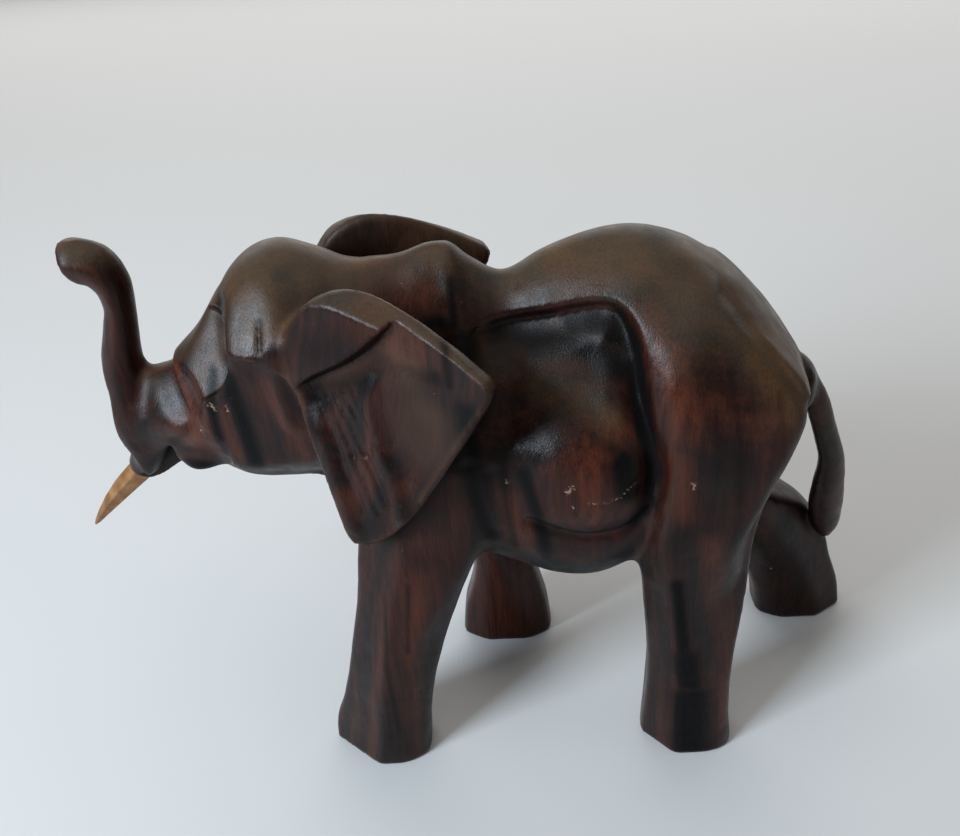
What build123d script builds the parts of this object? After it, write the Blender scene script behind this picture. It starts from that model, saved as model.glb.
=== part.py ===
from build123d import *

import os
from math import cos, pi, sin

# A carved hardwood elephant, striding, with its trunk raised and one pale tusk let into a socket.
#
# The elephant faces -X, its left side faces -Y, and it stands on Z = 0. The block is drawn in a design
# frame whose Y = 0 is the animal's middle plane, then moved so that the origin lies under the middle of
# the whole figure. The body is one carving, so its lofts are joined into one solid. The tusk is a second
# piece, whose round peg is glued into a drilled socket.

# Driving dimensions, in millimetres.
BACK_HEIGHT = 125.0       # floor to the top of the rump
BELLY_HEIGHT = 42.0       # floor to the lowest point of the belly
BODY_HALF_WIDTH = 28.0    # middle plane to the side of the belly
STANCE = 20.0             # middle plane to the middle of each foot
FOOT_WIDTH = 16.5
EAR_THICKNESS = 4.4
EAR_HOLLOW_DEPTH = 1.8
SOCKET_RADIUS = 1.75
SOCKET_DEPTH = 7.0
GLUE_LINE = 0.05          # radial gap between the tusk's peg and its socket
SOCKET_TIP_GAP = 0.4      # the peg stops this far short of the socket's end

# Sections of the head and the barrel, front to back:
# (x, lowest z, highest z, half width low down, half width in the middle, half width near the top)
HEAD_SECTIONS = [
    (-98.0, 78.0, 95.0, 4.0, 6.0, 4.0),
    (-92.0, 76.0, 100.5, 5.5, 9.0, 5.5),
    (-86.0, 74.0, 104.8, 7.0, 12.0, 7.0),
    (-79.5, 73.0, 111.0, 8.5, 14.5, 9.0),
    (-73.5, 73.0, 119.0, 9.5, 16.0, 10.5),
    (-68.0, 73.0, 124.8, 10.5, 17.0, 12.5),
    (-62.0, 73.0, 127.0, 11.5, 17.5, 14.0),
    (-54.0, 72.5, 125.3, 13.0, 18.5, 14.0),
    (-44.0, 73.0, 120.0, 14.0, 19.0, 11.0),
]
BARREL_SECTIONS = [
    (-60.0, 80.0, 112.0, 8.0, 11.0, 8.0),
    (-52.0, 68.0, 117.5, 12.0, 16.5, 10.0),
    (-44.0, 59.0, 121.0, 15.5, 21.0, 11.5),
    (-36.0, 53.5, 122.6, 18.0, 24.5, 11.5),
    (-28.0, 50.5, 123.6, 19.0, 26.0, 11.0),
    (-17.0, 48.0, 117.4, 19.0, 26.5, 12.0),
    (-6.0, 43.5, 121.6, 19.0, 27.5, 14.0),
    (2.0, BELLY_HEIGHT, 124.4, 19.0, BODY_HALF_WIDTH, 16.0),
    (12.0, 46.5, BACK_HEIGHT, 18.0, 27.0, 18.5),
    (24.0, 56.0, 120.4, 17.0, 26.0, 19.0),
    (35.0, 68.0, 111.0, 14.0, 22.5, 16.5),
    (44.0, 75.0, 100.0, 10.0, 15.5, 11.5),
    (49.5, 80.0, 92.0, 4.5, 7.0, 5.0),
]

# Trunk, root to tip: (x, y, z, radius in the side view, radius across)
TRUNK_SECTIONS = [
    (-93.0, 0.3, 84.0, 6.0, 6.0),
    (-98.4, 0.4, 89.5, 6.6, 6.3),
    (-99.3, 0.5, 95.0, 5.8, 5.6),
    (-98.7, 0.6, 103.0, 4.3, 4.7),
    (-97.2, 0.7, 109.5, 3.6, 4.2),
    (-95.9, 0.8, 115.5, 3.1, 4.0),
    (-96.7, 0.9, 121.2, 3.9, 4.1),
    (-99.9, 1.0, 124.8, 4.6, 4.5),
    (-104.2, 1.0, 125.4, 4.6, 4.8),
]

# Legs, floor upwards: (z, front x, rear x, middle y, width)
LEFT_FORE = [
    (0.0, -65.0, -40.8, -STANCE, FOOT_WIDTH),
    (5.0, -64.6, -40.4, -STANCE, FOOT_WIDTH),
    (17.0, -60.6, -38.8, -STANCE, 16.0),
    (34.0, -56.2, -34.6, -STANCE + 0.5, 16.5),
    (50.0, -52.6, -29.0, -STANCE + 1.5, 18.0),
    (64.0, -50.5, -23.5, -STANCE + 3.5, 21.0),
    (84.0, -46.0, -22.0, -STANCE + 7.0, 20.0),
]
RIGHT_FORE = [
    (0.0, -33.6, -8.8, STANCE, FOOT_WIDTH),
    (8.0, -32.6, -9.6, STANCE, 16.0),
    (20.0, -29.5, -12.0, STANCE - 0.5, 15.5),
    (34.0, -29.0, -14.5, STANCE - 1.5, 16.5),
    (50.0, -36.0, -18.0, STANCE - 3.0, 19.0),
    (64.0, -44.0, -21.0, STANCE - 5.0, 21.0),
    (84.0, -46.0, -22.0, STANCE - 7.0, 20.0),
]
LEFT_HIND = [
    (0.0, 11.6, 33.2, -STANCE, FOOT_WIDTH),
    (9.0, 12.2, 32.4, -STANCE, 16.0),
    (26.0, 13.0, 32.4, -STANCE + 0.5, 16.5),
    (44.0, 12.0, 34.4, -STANCE + 1.5, 18.5),
    (62.0, 11.0, 36.2, -STANCE + 3.5, 21.5),
    (78.0, 12.0, 41.0, -STANCE + 6.0, 22.0),
    (94.0, 14.0, 42.0, -STANCE + 8.5, 20.0),
]
RIGHT_HIND = [
    (0.0, 48.5, 72.2, STANCE + 3.5, FOOT_WIDTH),
    (8.0, 47.4, 70.9, STANCE + 3.5, 16.0),
    (18.0, 44.0, 67.6, STANCE + 3.0, 16.0),
    (28.0, 38.5, 64.5, STANCE + 2.0, 17.0),
    (37.0, 31.5, 58.5, STANCE + 1.0, 18.0),
    (47.0, 24.0, 46.5, STANCE - 0.5, 19.5),
    (62.0, 17.0, 38.5, STANCE - 3.0, 22.0),
    (78.0, 14.0, 41.5, STANCE - 6.0, 22.0),
    (94.0, 14.0, 42.0, STANCE - 8.5, 20.0),
]

# Tail, from the rump to the tuft that is left joined to the right hind leg: (x, y, z, radius)
TAIL_SECTIONS = [
    (38.0, -0.5, 102.0, 3.0),
    (46.3, 0.0, 92.5, 2.8),
    (52.4, 1.5, 82.5, 2.7),
    (56.4, 4.0, 72.0, 2.7),
    (59.2, 7.0, 61.0, 3.0),
    (60.8, 10.8, 50.0, 3.6),
    (62.4, 15.0, 40.0, 4.0),
    (64.4, 18.4, 31.0, 3.4),
    (65.6, 20.2, 25.0, 1.6),
]

# Ear outline in the side view (x, z), from the front of the root, over the top, and round to the root.
EAR_OUTLINE = [
    (-57.0, 112.0),
    (-54.0, 118.0),
    (-49.5, 122.3),
    (-44.5, 124.8),
    (-39.5, 124.6),
    (-33.4, 122.3),
    (-26.4, 118.4),
    (-20.4, 114.2),
    (-17.2, 110.8),
    (-19.2, 105.0),
    (-28.6, 90.0),
    (-36.6, 76.0),
    (-42.5, 70.8),
    (-47.5, 70.8),
    (-50.4, 79.5),
    (-54.9, 97.5),
]
EAR_TOP = (-44.5, 20.0, 124.6)     # a point of the ear's middle surface
LEFT_EAR = (-1, 0.50, 0.15)        # side, outward lean per millimetre towards the tail, and downwards
RIGHT_EAR = (1, 0.25, 0.10)
RIGHT_EAR_SHIFT = (-1.5, 0.0, -1.5)  # the right ear is set a little further forward and lower

# Tusk: root, tip and size.
TUSK_ROOT = (-104.4, 5.0, 70.5)
TUSK_TIP = (-123.6, 9.8, 50.4)
TUSK_ROOT_RADIUS = 3.4
TUSK_TIP_RADIUS = 0.8
TUSK_FACETS = 6
SHEATH_RADIUS = 4.2
SHEATH_BACK_RADIUS = 8.8
SHEATH_LENGTH = 24.0


def closed_spline(points):
    """A flat face inside a smooth closed curve through the points."""
    return Face(Wire([Edge.make_spline([Vector(*p) for p in points], periodic=True)]))


def barrel_section(x, low, high, half_low, half_mid, half_top):
    """An egg-shaped section across X, from its lowest and highest points and three half widths."""
    tall = high - low
    side = [(half_low, 0.14), (half_mid, 0.45), (half_top, 0.84)]
    right = [(x, w, low + share * tall) for w, share in side]
    left = [(x, -w, z) for x, w, z in reversed(right)]
    return closed_spline([(x, 0, low), *right, (x, 0, high), *left])


def oval(centre, normal, along, radius_along, radius_across, points=12):
    """A flat oval face about centre, square to normal, with its first radius along the given direction."""
    plane = Plane(origin=centre, x_dir=along, z_dir=normal)
    turns = [2 * pi * i / points for i in range(points)]
    return closed_spline(
        [tuple(plane.from_local_coords((radius_along * cos(t), radius_across * sin(t)))) for t in turns]
    )


def leg_section(z, front, rear, middle_y, width, points=16, squareness=0.72):
    """A level section of a leg: a rounded rectangle, drawn as a superellipse."""
    outline = []
    for i in range(points):
        t = 2 * pi * i / points
        c, s = cos(t), sin(t)
        outline.append(
            (
                (front + rear) / 2 + (rear - front) / 2 * abs(c) ** squareness * (1 if c > 0 else -1),
                middle_y + width / 2 * abs(s) ** squareness * (1 if s > 0 else -1),
                z,
            )
        )
    return closed_spline(outline)


def tube(sections):
    """A loft along a bent path: each section stands square to the path and holds (x, y, z, radii...)."""
    centres = [Vector(*s[:3]) for s in sections]
    faces = []
    for i, s in enumerate(sections):
        ahead = centres[min(i + 1, len(centres) - 1)]
        behind = centres[max(i - 1, 0)]
        normal = (ahead - behind).normalized()
        in_side_view = normal.cross(Vector(0, 1, 0)).normalized()
        across = s[4] if len(s) > 4 else s[3]
        faces.append(oval(centres[i], normal, in_side_view, s[3], across))
    return Solid.make_loft([f.outer_wire() for f in faces])


def loft_of(faces):
    return Solid.make_loft([f.outer_wire() for f in faces])


def make_ear(side, flare, lean):
    """A fan-shaped plate, hollowed on its outer face. side is -1 for the left ear and +1 for the right."""
    top_x, top_y, top_z = EAR_TOP

    def on_ear(x, z):
        return (x, side * (top_y + flare * (x - top_x) + lean * (top_z - z)), z)

    normal = Vector(-side * flare, 1, side * lean).normalized() * side
    middle = closed_spline([on_ear(x, z) for x, z in EAR_OUTLINE])
    inner = middle.moved(Location(normal * (-EAR_THICKNESS / 2)))
    plate = Solid.extrude(inner, normal * EAR_THICKNESS)
    ball_radius = 60.0
    hollow_middle = Vector(*on_ear(-35.0, 99.0)) + normal * (
        EAR_THICKNESS / 2 + ball_radius - EAR_HOLLOW_DEPTH
    )
    return plate - Pos(*hollow_middle) * Sphere(ball_radius)


def tusk_plane():
    """Stands at the tusk's root with its normal pointing to the tip."""
    direction = Vector(*TUSK_TIP) - Vector(*TUSK_ROOT)
    return Plane(origin=TUSK_ROOT, x_dir=Vector(0, 1, 0).cross(direction), z_dir=direction)


def make_sheath():
    """The upper lip beside the trunk's root, which tapers down to the tusk's socket."""
    return tusk_plane() * Pos(0, 0, -SHEATH_LENGTH / 2) * Cone(SHEATH_BACK_RADIUS, SHEATH_RADIUS, SHEATH_LENGTH)


def make_socket():
    return tusk_plane() * Pos(0, 0, 0.5 - SOCKET_DEPTH / 2) * Cylinder(SOCKET_RADIUS, SOCKET_DEPTH + 1)


def make_tusk():
    """A whittled spike of six flats on a round peg."""
    plane = tusk_plane()
    length = (Vector(*TUSK_TIP) - Vector(*TUSK_ROOT)).length
    root = plane * RegularPolygon(TUSK_ROOT_RADIUS, TUSK_FACETS)
    middle = plane.offset(length * 0.55) * RegularPolygon(TUSK_ROOT_RADIUS * 0.66, TUSK_FACETS)
    tip = plane.offset(length) * RegularPolygon(TUSK_TIP_RADIUS, TUSK_FACETS)
    spike = loft([root, middle, tip], ruled=True)
    peg_length = SOCKET_DEPTH - SOCKET_TIP_GAP
    peg = plane * Pos(0, 0, 0.5 - peg_length / 2) * Cylinder(SOCKET_RADIUS - GLUE_LINE, peg_length + 1)
    return spike + peg


def make_body():
    """Head, barrel, legs, trunk, ears and tail as one carving, with the tusk's socket drilled in it."""
    parts = [
        loft_of([barrel_section(*s) for s in HEAD_SECTIONS]),
        *[loft_of([leg_section(*s) for s in leg]) for leg in (LEFT_FORE, RIGHT_FORE, LEFT_HIND, RIGHT_HIND)],
        tube(TRUNK_SECTIONS),
        make_sheath(),
        tube(TAIL_SECTIONS),
        make_ear(*LEFT_EAR),
        Pos(*RIGHT_EAR_SHIFT) * make_ear(*RIGHT_EAR),
    ]
    body = loft_of([barrel_section(*s) for s in BARREL_SECTIONS])
    for piece in parts:
        body += piece
    return body - make_socket()


def main():
    body, tusk = make_body(), make_tusk()
    box = Compound([*body.solids(), *tusk.solids()]).bounding_box()
    centred = Location((-(box.min.X + box.max.X) / 2, -(box.min.Y + box.max.Y) / 2, -box.min.Z))
    os.makedirs("parts", exist_ok=True)
    for name, shape in (("carved_body", body), ("tusk_right", tusk)):
        solids = shape.solids()
        print(name, "solids", len(solids), "volume", round(sum(s.volume for s in solids)))
        export_step(Compound([s.moved(centred) for s in solids]), f"parts/{name}.step")
    print("moved by", centred.position)


main()
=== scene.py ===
from itertools import product
from math import pi

import bmesh
import bpy
import numpy as np
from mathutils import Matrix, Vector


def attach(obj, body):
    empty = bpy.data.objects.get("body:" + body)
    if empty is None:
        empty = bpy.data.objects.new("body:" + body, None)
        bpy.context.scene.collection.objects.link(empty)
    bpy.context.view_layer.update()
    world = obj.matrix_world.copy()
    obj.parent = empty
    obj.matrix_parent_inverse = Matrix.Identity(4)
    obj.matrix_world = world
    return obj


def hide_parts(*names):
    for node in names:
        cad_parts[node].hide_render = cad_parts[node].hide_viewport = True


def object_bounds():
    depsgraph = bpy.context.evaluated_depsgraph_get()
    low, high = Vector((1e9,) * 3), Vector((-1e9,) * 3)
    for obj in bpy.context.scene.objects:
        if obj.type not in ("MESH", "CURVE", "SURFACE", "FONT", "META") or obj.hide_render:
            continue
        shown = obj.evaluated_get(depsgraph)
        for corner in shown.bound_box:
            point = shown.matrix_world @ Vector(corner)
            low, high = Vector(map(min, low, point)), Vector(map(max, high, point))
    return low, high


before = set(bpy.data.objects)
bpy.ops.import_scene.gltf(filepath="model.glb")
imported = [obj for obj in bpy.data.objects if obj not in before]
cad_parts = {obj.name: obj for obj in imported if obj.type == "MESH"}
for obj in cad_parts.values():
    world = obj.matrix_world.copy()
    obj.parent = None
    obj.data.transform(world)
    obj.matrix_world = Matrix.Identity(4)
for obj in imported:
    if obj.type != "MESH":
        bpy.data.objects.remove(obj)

import openvdb
from mathutils import Matrix, Vector

CAD_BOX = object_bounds()

# The elephant is drawn in a design frame, in millimetres. It faces -X, its left side faces -Y, it stands on
# Z = 0, and Y = 0 is its middle plane. These say where that frame lies in the CAD box, and how large it is.
DESIGN_LENGTH = 196.406  # tusk tip to heel
DESIGN_BOX_MIDDLE = (-25.879, -3.079)
SCALE = (CAD_BOX[1].x - CAD_BOX[0].x) / DESIGN_LENGTH
ORIGIN = Vector(
    (
        (CAD_BOX[0].x + CAD_BOX[1].x) / 2 - DESIGN_BOX_MIDDLE[0] * SCALE,
        (CAD_BOX[0].y + CAD_BOX[1].y) / 2 - DESIGN_BOX_MIDDLE[1] * SCALE,
        CAD_BOX[0].z,
    )
)

GRID_STEP = 0.6  # spacing of the carving's samples
GRID_LOW = (-112.0, -43.0, -3.0)
GRID_HIGH = (78.0, 36.0, 134.0)
FAR = 25.0
LEFT, RIGHT, BOTH = -1, 1, 0


def to_world(x, y, z):
    """A point of the design frame as metres in the CAD frame."""
    return ORIGIN + Vector((x, y, z)) * SCALE


# -------- camera and light


CAMERA_PLACE = (-10.706, -182.793, 201.149)
CAMERA_RIGHT, CAMERA_UP = (0.99685, 0.01366, -0.07809), (0.05792, 0.54715, 0.83503)
CAMERA_BACK = (0.05413, -0.83692, 0.54464)
CAMERA_LENS = 36.61  # mm, on a sensor 36 mm wide


def make_camera():
    """It looks down on the elephant's left side, at about 33 degrees below the level."""
    data = bpy.data.cameras.new("camera")
    data.sensor_width = 36.0
    data.lens = CAMERA_LENS
    camera = bpy.data.objects.new("camera", data)
    bpy.context.collection.objects.link(camera)
    turn = Matrix((CAMERA_RIGHT, CAMERA_UP, CAMERA_BACK)).transposed().to_4x4()
    camera.matrix_world = Matrix.Translation(to_world(*CAMERA_PLACE)) @ turn
    data.clip_start = 0.01
    data.clip_end = 20.0
    bpy.context.scene.camera = camera


def area_light(name, place, target, size, watts, colour):
    """A soft rectangular lamp. place and target are in the design frame, size is in metres."""
    data = bpy.data.lights.new(name, "AREA")
    data.shape = "RECTANGLE"
    data.size, data.size_y = size
    data.energy = watts
    data.color = colour
    light = bpy.data.objects.new(name, data)
    bpy.context.collection.objects.link(light)
    at = to_world(*place)
    light.location = at
    light.rotation_euler = (to_world(*target) - at).to_track_quat("-Z", "Y").to_euler()


def make_lights():
    """A cool window ahead on the left, a wide pale wall behind, and a weak ceiling."""
    area_light("window", (-600, -450, 460), (-10, 0, 80), (0.28, 0.36), 9.0, (0.75, 0.88, 1.0))
    area_light("back_wall", (60, 1080, 560), (0, 0, 80), (2.4, 1.0), 12.0, (1.0, 0.98, 0.95))
    area_light("soft_top", (40, -60, 800), (0, 0, 60), (0.9, 0.7), 1.8, (1.0, 0.98, 0.95))
    world = bpy.data.worlds.new("studio")
    world.use_nodes = True
    background = world.node_tree.nodes["Background"]
    background.inputs["Color"].default_value = (0.86, 0.88, 0.9, 1.0)
    background.inputs["Strength"].default_value = 0.2
    bpy.context.scene.world = world
    bpy.context.scene.view_settings.view_transform = "Standard"


# -------- carving with distances
# A carving is a block of samples. Each holds the distance to the wood's surface, negative inside the wood.


def flow(knots, values, at):
    """A smooth curve through the values at the knots, read at the given places and held at its ends."""
    knots = np.asarray(knots, float)
    values = np.asarray(values, float)
    at = np.clip(np.asarray(at, float), knots[0], knots[-1])
    slopes = np.gradient(values, knots)
    i = np.clip(np.searchsorted(knots, at) - 1, 0, len(knots) - 2)
    span = knots[i + 1] - knots[i]
    t = (at - knots[i]) / span
    return (
        (2 * t**3 - 3 * t**2 + 1) * values[i]
        + (t**3 - 2 * t**2 + t) * span * slopes[i]
        + (3 * t**2 - 2 * t**3) * values[i + 1]
        + (t**3 - t**2) * span * slopes[i + 1]
    )


def smooth_min(a, b, blend):
    """The smaller of two fields, with a fillet about as wide as the blend where they meet."""
    share = np.clip(0.5 + 0.5 * (b - a) / blend, 0, 1)
    return b + (a - b) * share - blend * share * (1 - share)


def smooth_max(a, b, blend):
    return -smooth_min(-a, -b, blend)


def ramp(value, start, end):
    """0 up to start, 1 from end on, and smooth between."""
    t = np.clip((value - start) / (end - start), 0, 1)
    return t * t * (3 - 2 * t)


def as_distance(field):
    """Turns a field that is zero on the surface into millimetres from it."""
    slopes = np.gradient(field, GRID_STEP)
    steepness = np.sqrt(sum(s * s for s in slopes))
    return field / np.maximum(steepness, 1e-3)


class Carving:
    """A block of samples, which shapes are joined to, cut from and pressed into.

    A shape is a function of x, y and z. join and cut want a distance from it, and press wants a depth.
    """

    def __init__(self):
        self.low = np.array(GRID_LOW, float)
        counts = np.round((np.array(GRID_HIGH) - self.low) / GRID_STEP).astype(int) + 1
        self.field = np.full(counts, FAR, np.float32)

    def window(self, low, high):
        """The part of the block between two corners: its slices, and its x, y and z values."""
        slices, axes = [], []
        for i in range(3):
            first = max(0, int((low[i] - self.low[i]) / GRID_STEP))
            last = min(self.field.shape[i], int((high[i] - self.low[i]) / GRID_STEP) + 2)
            slices.append(slice(first, last))
            shape = [1, 1, 1]
            shape[i] = -1
            line = (self.low[i] + GRID_STEP * np.arange(first, last)).astype(np.float32)
            axes.append(line.reshape(shape))
        return tuple(slices), axes

    def join(self, low, high, shape, blend):
        slices, axes = self.window(low, high)
        self.field[slices] = smooth_min(self.field[slices], shape(*axes), blend)

    def cut(self, low, high, shape, blend):
        slices, axes = self.window(low, high)
        self.field[slices] = smooth_max(self.field[slices], -shape(*axes), blend)

    def press(self, low, high, depth):
        slices, axes = self.window(low, high)
        self.field[slices] += depth(*axes)

    def read(self, points):
        """The distance at each point, between the samples."""
        at = (points - self.low) / GRID_STEP
        limit = np.array(self.field.shape) - 2
        i = np.clip(np.floor(at).astype(int), 0, limit)
        t = np.clip(at - i, 0, 1)
        total = np.zeros(len(points))
        for corner in product((0, 1), repeat=3):
            share = np.prod(np.where(corner, t, 1 - t), axis=1)
            total += share * self.field[tuple((i + corner).T)]
        return total

    def surface(self):
        """The vertices, in the design frame, and the faces of the surface."""
        grid = openvdb.FloatGrid(FAR)
        grid.copyFromArray(np.ascontiguousarray(np.clip(self.field, -3, 3)))
        points, triangles, quads = grid.convertToPolygons(isovalue=0.0, adaptivity=0.0)
        faces = quads.tolist() + triangles.tolist()
        return points.astype(float) * GRID_STEP + self.low, faces


# -------- solid shapes


WIDEST_AT = 0.45  # share of a body section's height where it is widest
LOW_WIDTH_BELOW, TOP_WIDTH_ABOVE = 0.31, 0.39


def ring_body(sections, front_cap, rear_cap):
    """A body along X. Each section holds x, lowest z, highest z and three half widths, from low to high."""
    table = np.array(sections, float)
    angles = np.linspace(-pi / 2, pi / 2, 121)

    def shape(x, y, z):
        stations = x.ravel()
        low, high, w_low, w_mid, w_top = (flow(table[:, 0], table[:, i], stations) for i in range(1, 6))
        tall = high - low
        middle = low + WIDEST_AT * tall
        before = np.maximum(table[0, 0] - stations, 0) / front_cap
        after = np.maximum(stations - table[-1, 0], 0) / rear_cap
        beyond = np.maximum(before, after).reshape(-1, 1, 1)
        radii = np.empty((len(stations), len(angles)))
        for i in range(len(stations)):
            side = np.array(
                [
                    (w_low[i], -LOW_WIDTH_BELOW * tall[i]),
                    (w_mid[i], 0.0),
                    (w_top[i], TOP_WIDTH_ABOVE * tall[i]),
                ]
            )
            turn = np.arctan2(side[:, 1], side[:, 0])
            reach = np.hypot(side[:, 0], side[:, 1])
            knots = [-pi - turn[0], -pi / 2, *turn, pi / 2, pi - turn[2]]
            values = [reach[0], WIDEST_AT * tall[i], *reach, (1 - WIDEST_AT) * tall[i], reach[2]]
            radii[i] = flow(knots, values, angles)
        across = np.abs(y)
        rise = z - middle.reshape(-1, 1, 1).astype(np.float32)
        at = (np.arctan2(rise, across) + pi / 2) / pi * (len(angles) - 1)
        i0 = np.clip(at.astype(int), 0, len(angles) - 2)
        part = at - i0
        row = np.arange(len(stations)).reshape(-1, 1, 1)
        radius = radii[row, i0] * (1 - part) + radii[row, i0 + 1] * part
        field = (np.sqrt((across**2 + rise**2) / radius**2 + beyond**2) - 1) * radius
        return as_distance(field.astype(np.float32))

    return shape


LEG_POWER = 3.2  # 2 makes a leg's level section an ellipse, more makes it squarer
LEG_TOP_BLEND = 3.0
FLAT_BLEND = 0.8


def pillar(sections, flats):
    """A leg. Each level section holds z, front x, rear x, middle y and width.

    A flat is shaved off upright, along the whole leg: its direction (x, y), and (z, x, y) points on it.
    """
    table = np.array(sections, float)

    def shape(x, y, z):
        levels = z.ravel()
        front, rear, middle, width = (
            flow(table[:, 0], table[:, i], levels).reshape(1, 1, -1).astype(np.float32) for i in range(1, 5)
        )
        along = np.abs(x - (front + rear) / 2) / ((rear - front) / 2)
        across = np.abs(y - middle) / (width / 2)
        field = ((along**LEG_POWER + across**LEG_POWER) ** (1 / LEG_POWER) - 1) * width / 2
        field = as_distance(field)
        for direction, points in flats:
            way = np.array(direction, float) / np.hypot(*direction)
            line = np.array(sorted(points), float)
            edge_x = flow(line[:, 0], line[:, 1], levels)
            edge_y = flow(line[:, 0], line[:, 2], levels)
            reach = way[0] * edge_x + way[1] * edge_y
            field = smooth_max(field, way[0] * x + way[1] * y - reach.reshape(1, 1, -1), FLAT_BLEND)
        return smooth_max(field, z - table[-1, 0], LEG_TOP_BLEND).astype(np.float32)

    return shape


TUBE_STEPS = 48


def tube(sections, power=2.0):
    """A bent tube. Each section holds x, y, z, the radius in the side view and the radius across.

    A power below 2 gives it a ridge along each side, between flatter planes.
    """
    table = np.array(sections, float)
    lengths = np.r_[0, np.cumsum(np.linalg.norm(np.diff(table[:, :3], axis=0), axis=1))]
    at = np.linspace(0, lengths[-1], TUBE_STEPS + 1)
    path = np.stack([flow(lengths, table[:, i], at) for i in range(5)], axis=1)

    def shape(x, y, z):
        nearest = np.inf
        for a, b in zip(path[:-1], path[1:]):
            squeeze = a[3] / a[4]
            run = (b[:3] - a[:3]) * np.array([1, squeeze, 1])
            dx, dy, dz = x - a[0], (y - a[1]) * squeeze, z - a[2]
            t = np.clip((dx * run[0] + dy * run[1] + dz * run[2]) / (run @ run), 0, 1)
            side = np.abs(dy - t * run[1])
            flat = np.hypot(dx - t * run[0], dz - t * run[2])
            gap = (side**power + flat**power) ** (1 / power) - (a[3] + t * (b[3] - a[3]))
            nearest = np.minimum(nearest, gap)
        return nearest.astype(np.float32)

    return shape


def ball(centre, radii):
    """An ellipsoid."""
    centre, radii = np.array(centre, np.float32), np.array(radii, np.float32)

    def shape(x, y, z):
        px, py, pz = ((v - c) / r for v, c, r in zip((x, y, z), centre, radii))
        length = np.sqrt(px * px + py * py + pz * pz)
        slope = np.sqrt((px / radii[0]) ** 2 + (py / radii[1]) ** 2 + (pz / radii[2]) ** 2)
        return length * (length - 1) / np.maximum(slope, 1e-4)

    return shape


def smooth_outline(points, closed=True, per_side=3):
    """More points, on a smooth curve through the given ones."""
    points = np.array(points, float)
    n = len(points)
    result = []
    for i in range(n if closed else n - 1):
        near = np.arange(i - 1, i + 3)
        p0, p1, p2, p3 = points[near % n if closed else np.clip(near, 0, n - 1)]
        for t in np.arange(per_side) / per_side:
            result.append(
                0.5
                * (
                    2 * p1
                    + (p2 - p0) * t
                    + (2 * p0 - 5 * p1 + 4 * p2 - p3) * t**2
                    + (3 * p1 - p0 - 3 * p2 + p3) * t**3
                )
            )
    if not closed:
        result.append(points[-1])
    return np.array(result)


def segment_distance(u, v, a, b):
    """Distance from a straight piece of line in the plane, and whether the point is on its left."""
    run = b - a
    du, dv = u - a[0], v - a[1]
    t = np.clip((du * run[0] + dv * run[1]) / (run @ run), 0, 1)
    return np.sqrt((du - t * run[0]) ** 2 + (dv - t * run[1]) ** 2), run[0] * dv - run[1] * du > 0


def outline_distance(u, v, outline):
    """Distance from a closed outline in the plane, negative inside it."""
    nearest = np.inf
    inside = False
    for a, b in zip(outline, np.roll(outline, -1, axis=0)):
        nearest = np.minimum(nearest, segment_distance(u, v, a, b)[0])
        if a[1] != b[1]:
            crossing = ((a[1] > v) != (b[1] > v)) & (u < (b[0] - a[0]) * (v - a[1]) / (b[1] - a[1]) + a[0])
            inside = inside ^ crossing
    return np.where(inside, -1, 1) * nearest


def path_distance(u, v, path):
    """Distance from an open path in the plane, and the same with a minus sign on the path's right side."""
    path = np.asarray(path, float)
    nearest, signed = np.inf, 0.0
    for a, b in zip(path[:-1], path[1:]):
        gap, left = segment_distance(u, v, a, b)
        signed = np.where(gap < nearest, np.where(left, gap, -gap), signed)
        nearest = np.minimum(nearest, gap)
    return nearest, signed


def soft_line(x, z, path, width):
    """1 along a path of the side view, fading to 0 beside it."""
    gap, _ = path_distance(x, z, path)
    return np.exp(-((gap / width) ** 2))


def soft_spot(x, z, centre, radii):
    """1 at a point of the side view, fading to 0 around it."""
    return np.exp(-(((x - centre[0]) / radii[0]) ** 2) - (((z - centre[1]) / radii[1]) ** 2))


def side_window(points, margin):
    """Two corners of the block round a path of the side view, from the left side to the right."""
    points = np.asarray(points, float)
    (x0, z0), (x1, z1) = points.min(0) - margin, points.max(0) + margin
    return (x0, GRID_LOW[1], z0), (x1, GRID_HIGH[1], z1)


def groove(carving, points, width, depth, sharp=False):
    """A groove along a path in the side view, or a ridge if depth is negative. It is on both sides."""
    path = smooth_outline(points, closed=False)

    def shape(x, y, z):
        profile = np.exp(-path_distance(x, z, path)[0] / width) if sharp else soft_line(x, z, path, width)
        return (depth * profile).astype(np.float32)

    carving.press(*side_window(points, 4 * width), shape)


def ledge(carving, points, depth, edge, fade, ends=4.0):
    """A step down on the right of a path in the side view, which recovers over about the fade."""
    path = smooth_outline(points, closed=False)
    start, finish = path[0], path[-1]

    def shape(x, y, z):
        gap, signed = path_distance(x, z, path)
        below = -signed
        profile = ramp(below, -edge / 2, edge / 2) * np.exp(-((np.maximum(below, 0) / fade) ** 3))
        for tip, inner in ((start, path[1]), (finish, path[-2])):
            away = (tip - inner) / np.linalg.norm(tip - inner)
            past = (x - tip[0]) * away[0] + (z - tip[1]) * away[1]
            profile = profile * (1 - ramp(past, -ends, ends))
        return (depth * profile).astype(np.float32)

    carving.press(*side_window(points, 2.5 * fade + 2 * ends), shape)


def dab(carving, centre, radii, depth):
    """A soft hollow about a point, or a soft swelling if depth is negative."""
    centre, radii = np.array(centre, float), np.array(radii, float)

    def shape(x, y, z):
        far = sum(((v - c) / r) ** 2 for v, c, r in zip((x, y, z), centre, radii))
        return (depth * np.exp(-far)).astype(np.float32)

    carving.press(centre - 3 * radii, centre + 3 * radii, shape)


def dabs(carving, centre, radii, depth):
    """The same dab on both sides."""
    x, y, z = centre
    for side in (LEFT, RIGHT):
        dab(carving, (x, side * y, z), radii, depth)


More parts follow.
